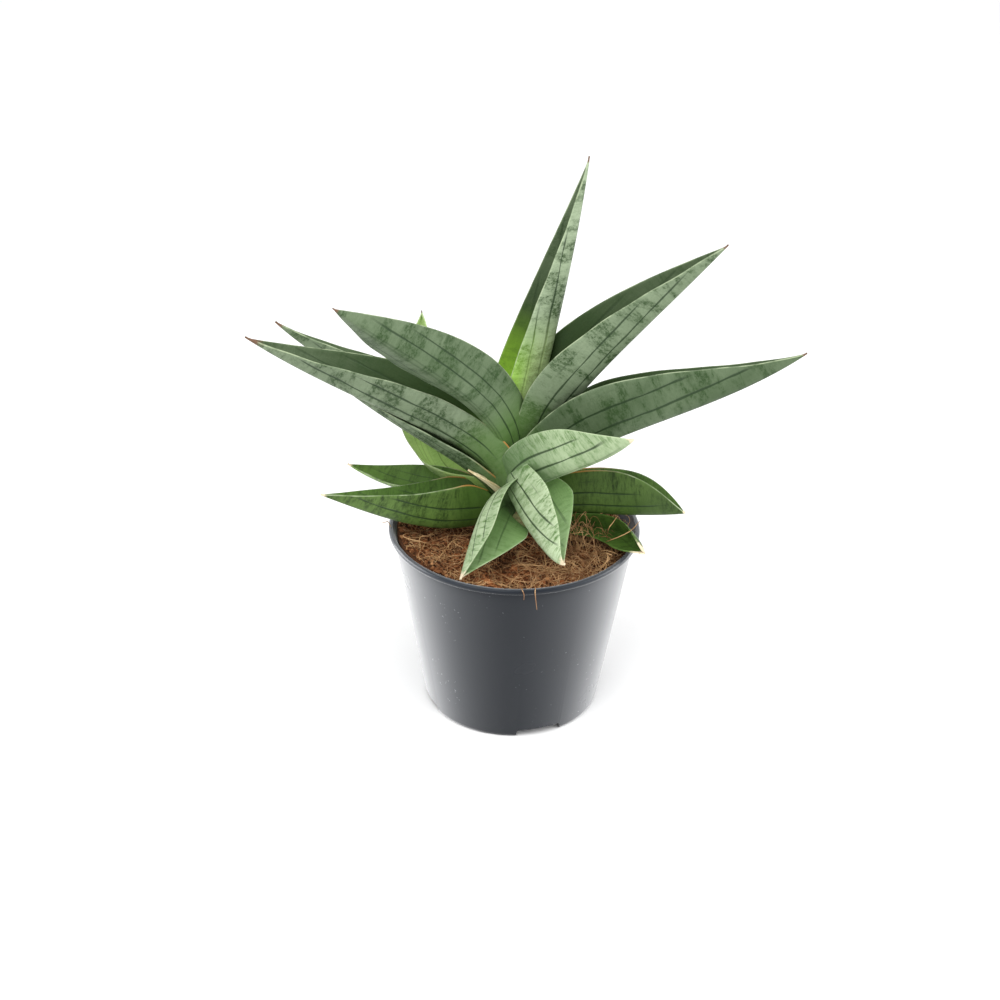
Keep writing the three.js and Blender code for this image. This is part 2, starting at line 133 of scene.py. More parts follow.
# Leaf blades: base, two handles and tip of the keel line in mm; half is the widest half width,
# wide where along the leaf that is, foot the share of it at the base, point how full the tip is,
# blunt the half width there, and thick the thickness at the keel. fold is how steeply the halves
# rise from the keel and roll turns the channel about it, in degrees, at base, middle and tip.
# tip is the length of the dry point, glow how far the pale foot reaches, its pale colour being
# painted light shining through the young leaf, sheath how far the margin is rusty, wave the size of
# the margin's ripple in mm, shade how light the ground is, partly the leaf's own tone and partly
# painted light and shade for how the leaf sits in the light, low how far the foot's darker colour
# reaches, partly the foot's own colour and partly painted shade deep in the crown, and bare is set
# where the margin has no pale line.
BLADES = {
    "leaf_heart": leaf(
        path=((3, 1, 118), (12, 5, 168), (25, 12, 222), (30, 16, 272)),
        half=25, wide=0.3, foot=0.45, point=1.25, thick=3.5,
        fold=(62, 72, 65), roll=(-10, -22, -12),
        look="grey", tip=4, glow=0.56, sheath=0, wave=0.3, shade=0.97,
    ),
    "leaf_upper_right": leaf(
        path=((8, -1, 124), (17, -1, 158), (52, 0, 190), (92, 0, 238)),
        half=29, wide=0.36, foot=0.34, point=1.5,
        fold=(78, 74, 64), look="grey", tip=3.5, sheath=0.2, shade=0.62, low=0.3,
    ),
    "leaf_upper_left": leaf(
        path=((-2, -7, 124), (-5, -19, 168), (-38, -36, 188), (-78, -50, 226)),
        half=22, wide=0.42, foot=0.45, point=1.7,
        fold=(60, 45, 40), roll=(10, 78, 70), look="grey", tip=3.5, sheath=0.24, shade=0.28,
    ),
    "leaf_back_left": leaf(
        path=((-3, 4, 114), (-28, 22, 140), (-80, 36, 145), (-116, 42, 178)),
        half=21, wide=0.45, foot=0.5, point=1.6,
        fold=(60, 56, 50), roll=(10, 25, 25), look="grey", tip=5, sheath=0.14, shade=0.5,
    ),
    "leaf_mid_right": leaf(
        path=((9, -6, 116), (28, -12, 149), (88, -10, 157), (130, -8, 190)),
        half=31, wide=0.34, foot=0.6, point=1.5,
        fold=(75, 72, 58), roll=(-12, -28, -22), look="grey", tip=3, shade=0.22, low=0.2,
    ),
    "leaf_long_left": leaf(
        path=((-9, -3, 118), (-22, -2, 143), (-80, 0, 158), (-124, 0, 189)),
        half=28, wide=0.34, foot=0.85, point=1.4,
        fold=(78, 68, 58), look="grey", tip=9, sheath=0.24, shade=0.6, low=0.27,
    ),
    "leaf_back": leaf(
        path=((-4, 4, 110), (-57, 48, 78), (-47, 57, 122), (-47, 62, 177)),
        half=19, wide=0.45, foot=0.6, point=2.4, thick=3.6,
        fold=(60, 52, 48), look="fresh", tip=1.5, wave=0.5, shade=0.98,
    ),
    "leaf_under_left": leaf(
        path=((-7, -2, 105), (-17, -6, 128), (-44, 0, 135), (-78, 8, 158)),
        half=13, wide=0.38, foot=0.9, point=1.6, thick=3.6,
        fold=(60, 50, 45), roll=(0, 10, 10), look="grey", tip=3, sheath=0.35, wave=0.3, shade=0.5,
    ),
    "leaf_front_right": leaf(
        path=((2, -13, 108), (5, -27, 137), (32, -30, 136), (52, -40, 161)),
        half=25, wide=0.5, foot=0.5, point=2, blunt=1.2,
        fold=(60, 48, 40), roll=(-30, -40, -40),
        look="mint", tip=2.5, sheath=0.12, wave=0.5, shade=0.56, low=0.62,
    ),
    "leaf_front_droop": leaf(
        path=((0, -9, 114), (-12, -15, 137), (12, -40, 95), (23, -51, 102.6)),
        half=28, wide=0.45, foot=0.3, point=1.42, blunt=1.2,
        fold=(84, 62, 75), roll=(-54, -14, -57), look="mint", tip=4, wave=0.5, shade=0.76, low=0.3,
    ),
    "leaf_front_folded": leaf(
        path=((-3, -8, 106), (-10, -17, 130), (-18, -28, 109), (-24.5, -51, 93.8)),
        half=24, wide=0.5, foot=0.45, point=1.35, blunt=1.2, thick=3.6,
        fold=(45, 70, 78), roll=(-90, -66, -66), look="mint", tip=4, wave=0.5, shade=0.66,
    ),
    "leaf_low_left_back": leaf(
        path=((-6, 3, 100), (-31, 17, 100), (-57, 23, 94), (-82, 27, 110)),
        half=16, wide=0.45, foot=0.6, point=1.8, thick=3.6,
        fold=(50, 42, 35), look="green", tip=3, sheath=0.45, wave=0.3, shade=0.95,
    ),
    "leaf_low_left_front": leaf(
        path=((-6, -3, 102), (-28, -13, 88), (-64, -18, 107), (-90, -20, 119)),
        half=28, wide=0.26, foot=0.85, point=1.5, thick=3.8,
        fold=(70, 60, 50), roll=(20, 20, 20),
        look="green", tip=3, sheath=0.45, wave=0.3, shade=0.42,
    ),
    "leaf_low_right": leaf(
        path=((6, -2, 102), (34, -5, 104), (60, -9, 104), (80, -13, 109)),
        half=26, wide=0.5, foot=0.65, point=2.6,
        fold=(72, 70, 55), roll=(-22, -28, -24),
        look="green", tip=1.2, sheath=0.72, wave=0.3, shade=0.28,
    ),
    "leaf_over_rim": leaf(
        path=((6, 1, 95), (36, -5, 95), (54, 4, 93), (61, -31, 97.5)),
        half=14.5, wide=0.75, foot=0.4, point=3.6, blunt=3, thick=4.5,
        fold=(66, 74, 70), roll=(46, 58, 58),
        look="green", tip=3.5, sheath=0, wave=0.3, shade=0.6, bare=1,
    ),
}
SCALE_SEED = 20
SCALE_ROWS = 24
DRY_SCALE = leaf(
    path=((-6, -13, 115), (-11, -19, 125), (-16, -20, 129), (-22, -19, 133)),
    half=3.8, wide=0.35, foot=0.9, point=1.5, thick=1.2,
    fold=(40, 40, 30), roll=(0, 10, 10),
    look="dry", tip=0.5, sheath=0.4, shade=0.5,
)

# What each kind of leaf colour is, then the leaves and the colours of each look
# The foot colour is partly the leaf's own colour at its base and partly painted shade deep in the
# crown
# The inside colour paints the shade in the leaves' channel
LEAF_COLOURS = {
    "Pale": "Light ground", "Deep": "Dark bands", "Inside": "Channel", "Foot": "Foot",
}
LOOK_COLOURS = {
    "grey": ("large leaves", "94a486", "2c4320", "2a3f19", "55743a"),
    "mint": ("front leaves", "c0d0ac", "567540", "68894e", "4f6a40"),
    "green": ("low leaves", "789a4b", "22360f", "4a692a", "3d5a20"),
    # The leaf behind is brighter, partly its own fresh green and partly painted light where it sits
    # in shade under the rosette
    "fresh": ("leaf behind", "bccf9a", "6e9440", "b2d07e", "a2c465"),
}
# Colours that all looks share
MARK_COLOURS = ("Vein", "Margin", "Rust", "Glow", "Lime")
TIP_COLOURS = {"grey": "dry", "mint": "cream", "green": "cream", "fresh": "dry"}
LOOK_SLOTS = {"grey": "leaf_grey", "mint": "leaf_mint", "green": "leaf_dark", "fresh": "leaf_mint"}


def linear(code):
    """A web colour such as "8f9f86" as linear red, green and blue"""
    shares = [int(code[i : i + 2], 16) / 255 for i in (0, 2, 4)]
    return tuple(
        share / 12.92 if share <= 0.04045 else ((share + 0.055) / 1.055) ** 2.4
        for share in shares
    )


def rgba(colour):
    """Red, green, blue and full cover"""
    return (*colour[:3], 1)


def paint(code):
    """A web colour for a colour socket"""
    return rgba(linear(code))


def colour_setting(name, description, code):
    return bpy.props.FloatVectorProperty(
        name=name, description=description, subtype="COLOR", size=3, min=0, max=1,
        default=linear(code),
    )


class PlantSettings(bpy.types.PropertyGroup):
    """Colours and amounts of the plant, its soil and its pot"""

    vein: colour_setting("Veins", "Fine lines along the blades", "1f3319")
    margin: colour_setting("Margin", "Thin pale edge of the blades", "b0bd9a")
    rust: colour_setting("Old margin", "Rusty edge of the sheaths", "a87a3e")
    # Painted light: the pale and lime foot colours brighten the youngest leaf's foot as light
    # shining through it
    glow: colour_setting("Pale foot", "Foot of the youngest leaf", "d8f8a2")
    lime: colour_setting("Lime foot", "Edges of the youngest leaf's foot", "96c640")
    dry: colour_setting("Dry tip", "Withered points of the blades", "6b5240")
    cream: colour_setting("Blunt tip", "Callus at the front leaves' points", "dccdb0")
    pot: colour_setting("Pot", "Moulded plastic of the pot", "10151c")
    soil: colour_setting("Soil", "Coir and bark", "4d2f1b")
    fibre: colour_setting("Fibre", "Coir strands", "c49a69")
    crumbs: bpy.props.IntProperty(
        name="Crumbs", description="Pieces of bark and coir pith on the soil", default=6800,
        min=0, max=9000,
    )
    hairs: bpy.props.IntProperty(
        name="Short fibres", description="Short coir fibres in the soil", default=1500, min=0,
        max=4000,
    )
    strands: bpy.props.IntProperty(
        name="Long fibres", description="Long coir fibres on the soil", default=150, min=0, max=400,
    )
    blade_rows: bpy.props.IntProperty(
        name="Blade rows", description="Faces along each blade", default=100, min=24, max=200,
    )


for look, (leaves, *codes) in LOOK_COLOURS.items():
    for (part, meaning), code in zip(LEAF_COLOURS.items(), codes):
        setting = colour_setting(f"{meaning}, {look}", f"{meaning} of the {leaves}", code)
        PlantSettings.__annotations__[f"{look}_{part.lower()}"] = setting


class StageSettings(bpy.types.PropertyGroup):
    """Floor, light and camera"""

    floor: colour_setting("Floor", "Plain floor under the pot", "f4f4f4")
    surround: bpy.props.FloatProperty(
        name="Surround", description="Strength of the white room light", default=1.0, min=0,
    )
    key: bpy.props.FloatProperty(
        name="Key light", description="Power of the large lamp overhead", default=10, min=0,
        unit="POWER",
    )
    lens: bpy.props.FloatProperty(
        name="Lens", description="Focal length of the camera", default=66.4, min=10, unit="CAMERA",
    )


class Wiring:
    """Adds and joins the nodes of one shader tree"""

    def __init__(self, tree):
        self.tree = tree

    def feed(self, node, key, value):
        if isinstance(value, bpy.types.NodeSocket):
            self.tree.links.new(value, node.inputs[key])
        elif value is not None:
            node.inputs[key].default_value = value

    def add(self, kind, *values, settings=None, **named):
        node = self.tree.nodes.new(kind if kind.startswith("Node") else "ShaderNode" + kind)
        for key, value in (settings or {}).items():
            setattr(node, key, value)
        for key, value in enumerate(values):
            self.feed(node, key, value)
        return self.set(node, **named)

    def set(self, node, **named):
        for name, value in named.items():
            self.feed(node, name.replace("_", " "), value)
        return node

    def math(self, operation, *values, clamp=False):
        settings = {"operation": operation, "use_clamp": clamp}
        return self.add("Math", *values, settings=settings).outputs[0]

    def times(self, first, second):
        return self.math("MULTIPLY", first, second)

    def less(self, first, second):
        return self.math("SUBTRACT", first, second)

    def plus(self, first, second, clamp=False):
        return self.math("ADD", first, second, clamp=clamp)

    def scaled(self, value, by, plus):
        return self.math("MULTIPLY_ADD", value, by, plus)

    def mix(self, factor, first, second):
        node = self.add("Mix", factor, settings={"data_type": "RGBA"})
        self.feed(node, 6, first)
        self.feed(node, 7, second)
        return node.outputs[2]

    def smooth(self, value, start, end, low=0.0, high=1.0):
        settings = {"interpolation_type": "SMOOTHSTEP"}
        return self.add("MapRange", value, start, end, low, high, settings=settings).outputs[0]

    def fade(self, value, start, end):
        return self.smooth(value, start, end, 1.0, 0.0)

    def noise(self, vector, scale=1.0, detail=2.0, roughness=0.5, distortion=0.0):
        node = self.add(
            "TexNoise", Vector=vector, Scale=scale, Detail=detail, Roughness=roughness,
            Distortion=distortion,
        )
        return node.outputs[0]

    def grain(self, vector, x, y, z=1, **named):
        """Noise that is finer along some axes than along others"""
        return self.noise(self.add("Mapping", Vector=vector, Scale=(x, y, z)).outputs[0], **named)

    def attribute(self, name, output="Vector"):
        return self.add("Attribute", settings={"attribute_name": name}).outputs[output]

    def split(self, name):
        """The three numbers that a piece's attribute holds"""
        return self.add("SeparateXYZ", self.attribute(name)).outputs

    def where(self):
        return self.add("TexCoord").outputs["Object"]

    def place(self, group, **values):
        return self.add("Group", settings={"node_tree": group}, **values).outputs


def shader_group(name, inputs, outputs):
    """A new node group with named sockets: its tree, wiring and inner input and output sockets"""
    tree = bpy.data.node_groups.new(name, "ShaderNodeTree")
    for key, kind in inputs.items():
        tree.interface.new_socket(key, in_out="INPUT", socket_type="NodeSocket" + kind)
    for key, kind in outputs.items():
        tree.interface.new_socket(key, in_out="OUTPUT", socket_type="NodeSocket" + kind)
    wires = Wiring(tree)
    return tree, wires, wires.add("NodeGroupInput").outputs, wires.add("NodeGroupOutput")


def new_material(name):
    """A material with its wiring and its only shader"""
    made = bpy.data.materials.new(name)
    made.use_nodes = True
    made.node_tree.nodes.clear()
    wires = Wiring(made.node_tree)
    shader = wires.add("BsdfPrincipled")
    wires.add("OutputMaterial", shader.outputs[0])
    return made, wires, shader


def raise_surface(wires, shader, height, distance, strength=1.0):
    """Relief from a height, as deep as distance"""
    bump = wires.add("Bump", Strength=strength, Distance=distance, Height=height)
    wires.set(shader, Normal=bump.outputs[0])


# Band pitch across and along, and the strength of bands, cross dashes and freckles
LOOK_VALUES = ("Band Across", "Band Along", "Bands", "Dashes", "Freckles")
LOOKS = {
    "grey": (0.42, 1.3, 0.74, 0.15, 0.55),
    "mint": (0.4, 2.0, 0.4, 0.6, 0.25),
    "green": (0.4, 1.6, 0.55, 0.5, 0.3),
    "fresh": (0.4, 1.3, 0.3, 0.3, 0.15),
}
# Veins of a half blade: place between keel and margin, where along the blade it starts and
# ends, and its strength
VEINS = (
    (0.04, 0.03, 0.94, 0.4), (0.31, 0.04, 0.9, 1), (0.58, 0.06, 0.76, 1), (0.81, 0.3, 0.5, 0.4),
)
VEIN_WIDTH = 0.02


def blade_markings():
    """Bands, dashes, veins, margin and tip of a blade, read from its own attributes"""
    tree, wires, given, result = shader_group(
        "Blade markings",
        {key: "Color" for key in (*LEAF_COLOURS, *MARK_COLOURS, "Dry")}
        | {key: "Float" for key in LOOK_VALUES},
        {"Color": "Color", "Roughness": "Float", "Height": "Float"},
    )
    place = wires.attribute("place")
    across, along, seed = wires.split("place")
    centred, share, inner = wires.split("share")
    trace, edge, tip = wires.split("trace")
    glow, sheath, shade = wires.split("tone")

    banded = wires.add(
        "CombineXYZ", wires.times(across, given["Band Across"]),
        wires.times(along, given["Band Along"]), seed,
    ).outputs[0]
    blotch = wires.smooth(wires.noise(banded, detail=3, roughness=0.6, distortion=0.5), 0.44, 0.6)
    cloud = wires.grain(place, 0.5, 0.35, detail=2)
    mottle = wires.smooth(wires.grain(place, 4, 6, detail=5, roughness=0.75), 0.4, 0.6)
    freckle = wires.smooth(wires.grain(place, 9, 17, detail=3, roughness=0.65), 0.54, 0.68)
    dashed = wires.grain(place, 1.7, 8.5, detail=3, roughness=0.6, distortion=0.6)
    dash = wires.times(wires.smooth(dashed, 0.5, 0.63), given["Dashes"])
    dash = wires.times(dash, wires.scaled(wires.smooth(centred, 0.2, 0.95), 0.65, 0.35))
    patch = wires.times(wires.times(wires.scaled(mottle, 0.65, 0.35), blotch), given["Bands"])
    specks = wires.times(wires.times(wires.scaled(blotch, 0.7, 0.3), freckle), given["Freckles"])
    dark = wires.plus(wires.plus(patch, wires.times(mottle, 0.12)), dash)
    dark = wires.plus(dark, specks, clamp=True)

    # Ground lightness per leaf, partly the leaf's own tone and partly painted light and shade for
    # how the leaf sits in the light
    tint = wires.less(1.0, shade)
    tint = wires.plus(tint, wires.scaled(cloud, 0.5, -0.25), clamp=True)
    ground = wires.mix(tint, given["Pale"], given["Deep"])
    outside = wires.mix(dark, ground, given["Deep"])
    # Painted shade in the channel: the inner face takes the inside colour, easing a little towards
    # the ground colour near the margin
    channel_shade = wires.mix(wires.smooth(share, 0.35, 0.95, high=0.35), given["Inside"], ground)
    channel = wires.mix(wires.times(dark, 0.7), channel_shade, given["Deep"])
    colour = wires.mix(inner, outside, channel)
    # Foot colour, partly the leaf's own colour at its base and partly painted shade deep in the
    # crown
    colour = wires.mix(wires.times(wires.split("base")[0], 0.8), colour, given["Foot"])

    traced = wires.scaled(wires.less(wires.grain(place, 0.1, 0.5), 0.5), 0.06, trace)
    width = wires.times(wires.scaled(wires.grain(place, 0.6, 0.9), 2.4, -0.2), VEIN_WIDTH)
    lines = None
    for vein, start, end, strength in VEINS:
        off = wires.math("ABSOLUTE", wires.less(traced, vein))
        line = wires.smooth(wires.math("DIVIDE", off, width), 0.35, 1.25, strength, 0.0)
        line = wires.times(line, wires.smooth(share, start, start + 0.1))
        line = wires.times(line, wires.fade(share, end - 0.12, end))
        lines = line if lines is None else wires.math("MAXIMUM", lines, line)
    lines = wires.times(lines, wires.fade(centred, 0.8, 0.94))
    lines = wires.times(lines, wires.scaled(inner, -0.5, 1.0))
    colour = wires.mix(wires.times(lines, 0.85), colour, given["Vein"])

    # Painted glow: light shining through the young foot, painted pale near the keel on the outer
    # face and lime towards the edges and on the inner face
    painted_glow = wires.times(glow, wires.scaled(dark, -0.35, 1.0))
    lime = wires.math("MAXIMUM", inner, wires.smooth(centred, 0.45, 0.9))
    colour = wires.mix(painted_glow, colour, wires.mix(lime, given["Glow"], given["Lime"]))
    patchy = wires.grain(place, 1, 1.6, detail=3)
    worn = wires.math("MAXIMUM", wires.smooth(patchy, 0.38, 0.62, 0.12, 0.6), sheath)
    edge = wires.math("DIVIDE", edge, wires.scaled(sheath, 0.8, 1.0))
    hem = wires.times(wires.fade(edge, 0.015, 0.045), worn)
    colour = wires.mix(hem, colour, wires.mix(sheath, given["Margin"], given["Rust"]))
    frayed = wires.scaled(wires.grain(place, 9, 4), 0.5, -0.25)
    dried = wires.smooth(wires.plus(tip, frayed), 0.35, 0.7)
    dried = wires.times(dried, wires.smooth(tip, 0.02, 0.2))
    colour = wires.mix(dried, colour, given["Dry"])

    ribs = wires.grain(place, 14, 0.7, detail=2)
    height = wires.scaled(ribs, 0.35, wires.times(mottle, 0.12))
    height = wires.less(height, wires.times(lines, 0.7))
    rough = wires.scaled(ribs, 0.14, 0.42)
    rough = wires.plus(rough, wires.times(dried, 0.25))
    wires.set(result, Color=colour, Roughness=rough, Height=height)
    return tree


def leaf_materials(settings):
    """One banded material for each kind of leaf, and a dry one"""
    group = blade_markings()
    made = {}
    for look, values in LOOKS.items():
        material, wires, shader = new_material("Leaf " + look)
        colours = {key: look + "_" + key.lower() for key in LEAF_COLOURS}
        colours |= {key: key.lower() for key in MARK_COLOURS} | {"Dry": TIP_COLOURS[look]}
        colours = {key: rgba(getattr(settings, name)) for key, name in colours.items()}
        marks = wires.place(group, **colours, **dict(zip(LOOK_VALUES, values)))
        wires.set(
            shader, Base_Color=marks["Color"], Roughness=marks["Roughness"], Specular_IOR_Level=0.2
        )
        raise_surface(wires, shader, marks["Height"], 0.25 * MM, 0.8)
        made[look] = material
    material, wires, shader = new_material("Leaf dry")
    place = wires.attribute("place")
    streak = wires.grain(place, 16, 1.2, detail=4, roughness=0.7)
    edge = wires.split("trace")[1]
    colour = wires.mix(wires.smooth(streak, 0.35, 0.7), paint("d5cba8"), paint("a3966a"))
    rusty = wires.times(wires.fade(edge, 0.01, 0.06), 0.25)
    colour = wires.mix(rusty, colour, rgba(settings.rust))
    wires.set(shader, Base_Color=colour, Roughness=0.7)
    raise_surface(wires, shader, streak, 0.3 * MM)
    made["dry"] = material
    return made


def start_fresh():
    """Leaves edit mode and deselects all"""
    if bpy.context.object is not None and bpy.context.object.mode != "OBJECT":
        bpy.ops.object.mode_set(mode="OBJECT")
    bpy.ops.object.select_all(action="DESELECT")


def pick(piece):
    piece.select_set(True)
    bpy.context.view_layer.objects.active = piece


def bake_modifiers(piece):
    for modifier in list(piece.modifiers):
        bpy.ops.object.modifier_apply(modifier=modifier.name)


def finish_piece(piece, material, slot, *nodes):
    """Gives a piece its finish and its place in the part"""
    piece.data.materials.clear()
    piece.data.materials.append(material)
    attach(piece, "root")
    if nodes:
        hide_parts(*nodes)


def blend3(values, t):
    """A smooth value from three numbers spread over 0 to 1: start, pull and end"""
    start, pull, end = values
    return (1 - t) ** 2 * start + 2 * t * (1 - t) * pull + t * t * end


def along_curve(path, t):
    """Points, directions and length of a Bezier curve at even shares of its length"""
    a, b, c, d = (np.array(point, float) for point in path)

    def point(s):
        return (1 - s) ** 3 * a + 3 * s * (1 - s) ** 2 * b + 3 * s * s * (1 - s) * c + s**3 * d

    s = np.linspace(0, 1, CURVE_STEPS + 1)[:, None]
    steps = np.linalg.norm(np.diff(point(s), axis=0), axis=1)
    length = np.concatenate([[0], np.cumsum(steps)])
    at = np.interp(t * length[-1], length, s[:, 0])[:, None]
    slope = (1 - at) ** 2 * (b - a) + 2 * at * (1 - at) * (c - b) + at * at * (d - c)
    return point(at), slope / np.linalg.norm(slope, axis=1)[:, None], length[-1]


def half_width(blade, t):
    """Half widths along a blade, in mm"""
    wide, foot = blade["wide"], blade["foot"]
    low = foot + (1 - foot) * np.sin(np.pi / 2 * np.minimum(t / wide, 1))
    high = 1 - np.clip((t - wide) / (1 - wide), 0, 1) ** blade["point"]
    return np.maximum(blade["half"] * np.where(t < wide, low, high), blade["blunt"])


def blade_surface(blade, seed, t, halves):
    """Points of a blade's outer and inner face by row and column, and what its markings read"""
    keel, along, length = along_curve(blade["path"], t)
    up = np.array([0, 0, 1]) - along * along[:, 2:]
    up /= np.linalg.norm(up, axis=1)[:, None]
    side = np.cross(along, up)
    roll = np.radians(blend3(blade["roll"], t))[:, None]
    face = up * np.cos(roll) + side * np.sin(roll)
    lateral = np.cross(along, face)
    width = half_width(blade, t)[:, None]
    clasp = np.exp(-t / CLASP_LENGTH)[:, None]
    fold = np.radians(blend3(blade["fold"], t))[:, None]

    def slope(u):
        rise = (1 - clasp) * fold * (1 - np.exp(-KEEL_SHARPNESS * u))
        return rise + clasp * math.radians(CLASP_ANGLE) * u

    fine = (np.arange(halves * SECTION_STEPS) + 0.5)[None, :] / (halves * SECTION_STEPS)
    angle = slope(fine)
    start = np.zeros((len(t), 1))
    across = np.hstack([start, np.cumsum(np.cos(angle), 1)]) * width / (halves * SECTION_STEPS)
    rise = np.hstack([start, np.cumsum(np.sin(angle), 1)]) * width / (halves * SECTION_STEPS)
    across, rise = across[:, ::SECTION_STEPS], rise[:, ::SECTION_STEPS]
    u = np.linspace(0, 1, halves + 1)[None, :]
    lean = slope(u)
    body = blade["thick"] * np.maximum(1.15 - 0.95 * t, 0.2)[:, None]
    thick = np.maximum(body * (1 - 0.8 * u**1.5), MARGIN_THICKNESS)
    rounded = np.maximum(u - ROUND_FROM, 0) / (1 - ROUND_FROM)
    rounding = np.sqrt(np.maximum(1 - rounded**2, 0.1))

    shape = (len(t), 2 * halves + 1)
    outer = np.zeros((*shape, 3))
    inner = np.zeros((*shape, 3))
    distance = t * length
    ripples = [distance / pitch for pitch in RIPPLE_LENGTHS]
    for column in range(-halves, halves + 1):
        sign, j = (1 if column >= 0 else -1), abs(column)
        ripple = np.sin(ripples[0] + sign * 2.1 + seed) * np.sin(ripples[1] + seed)
        lift = blade["wave"] * u[0, j] ** 2 * ripple * (1 - clasp[:, 0])
        inset = thick[:, j] * (1 - rounding[0, j]) / 2
        sine, cosine = np.sin(lean[:, j]), np.cos(lean[:, j])
        for shell, depth in ((outer, inset), (inner, thick[:, j] - inset)):
            x = np.maximum(across[:, j] - sine * depth, 0.12 * across[:, j])
            y = rise[:, j] + cosine * depth
            x = x - lift * sine
            y = y + lift * cosine
            spot = keel + lateral * (sign * x)[:, None] + face * y[:, None]
            shell[:, column + halves] = spot
    signed = np.linspace(-1, 1, 2 * halves + 1)[None, :]
    arc = signed * width
    widest = np.where(t[:, None] < blade["wide"], width, blade["half"])
    skew = 1 + 0.08 * np.sin(seed * 3.1 + np.sign(signed) * 1.3)

    def spread(values):
        return np.broadcast_to(values[:, None], shape)

    none = np.zeros(shape)
    reaches = [spread(foot_weight(blade[key], t)) for key in ("glow", "sheath", "low")]
    dry_length = 1.6 * max(blade["tip"], 0.1)
    marks = {
        "place": (arc / 10, spread(distance / 10), none + seed * 7.3),
        "share": (none + np.abs(signed), spread(t), none),
        "trace": (
            np.abs(arc) / widest * skew,
            (1 - np.abs(signed)) * width / 10 + blade["bare"],
            spread(np.clip(1 - (1 - t) * length / dry_length, 0, 1)),
        ),
        "tone": (*reaches[:2], none + blade["shade"]),
        "base": (reaches[2], none, none),
    }
    return outer * MM, inner * MM, marks


def foot_weight(reach, t):
    """1 at the foot of a blade, falling to 0 at its share reach"""
    if reach <= 0:
        return np.zeros(len(t))
    x = np.clip((t / reach - 0.45) / 0.55, 0, 1)
    return 1 - x * x * (3 - 2 * x)


def grow_blade(name, blade, seed, rows):
    """A blade from a flat slab whose points are laid on the blade's outer and inner face"""
    start_fresh()
    bpy.ops.mesh.primitive_grid_add(x_subdivisions=2 * HALF_COLUMNS, y_subdivisions=rows, size=2)
    piece = bpy.context.object
    piece.name = piece.data.name = name
    shell = piece.modifiers.new("Thickness", "SOLIDIFY")
    shell.thickness = 0.1
    shell.offset = 0
    bake_modifiers(piece)
    mesh = piece.data
    flat = np.zeros(len(mesh.vertices) * 3)
    mesh.vertices.foreach_get("co", flat)
    flat = flat.reshape(-1, 3)
    column = np.round((flat[:, 0] + 1) * HALF_COLUMNS).astype(int)
    row = np.round((flat[:, 1] + 1) / 2 * rows).astype(int)
    t = np.linspace(0, 1, rows + 1)
    outer, inner, marks = blade_surface(blade, seed, t, HALF_COLUMNS)
    inside = flat[:, 2] > 0
    points = np.where(inside[:, None], inner[row, column], outer[row, column])
    mesh.vertices.foreach_set("co", points.astype(np.float32).ravel())
    for key, parts in marks.items():
        values = np.stack([part[row, column] for part in parts], 1)
        if key == "share":
            values[:, 2] = inside
        attribute = mesh.attributes.new(key, "FLOAT_VECTOR", "POINT")
        attribute.data.foreach_set("vector", values.astype(np.float32).ravel())
    mesh.update()
    bpy.ops.object.shade_smooth()
    return piece


def lathe(name, profile, steps, rounding=0.0):
    """A turned shape from [radius, height] points in mm, drawn point by point and spun"""
    start_fresh()
    bpy.ops.mesh.primitive_plane_add(size=MM)
    piece = bpy.context.object
    piece.name = piece.data.name = name
    bpy.ops.object.mode_set(mode="EDIT")
    bpy.ops.mesh.select_mode(type="VERT")
    bpy.ops.mesh.select_all(action="SELECT")
    bpy.ops.mesh.merge(type="CENTER")
    points = [Vector((radius * MM, 0, height * MM)) for radius, height in profile]
    bpy.ops.transform.translate(value=points[0])
    for last, point in zip(points, points[1:]):
        bpy.ops.mesh.extrude_region_move(TRANSFORM_OT_translate={"value": point - last})
    if rounding:
        bpy.ops.mesh.select_all(action="SELECT")
        bpy.ops.mesh.bevel(
            offset=rounding * MM, affect="VERTICES", segments=3, clamp_overlap=True
        )
    bpy.ops.mesh.select_all(action="SELECT")
    bpy.ops.mesh.spin(steps=steps, angle=TAU, center=(0, 0, 0), axis=(0, 0, 1))
    bpy.ops.mesh.select_all(action="SELECT")
    bpy.ops.mesh.remove_doubles(threshold=0.01 * MM)
    bpy.ops.mesh.normals_make_consistent(inside=False)
    bpy.ops.object.mode_set(mode="OBJECT")
    return piece


def turned_about_z(point, bearing):
    return Matrix.Rotation(bearing, 4, "Z") @ Vector(point)


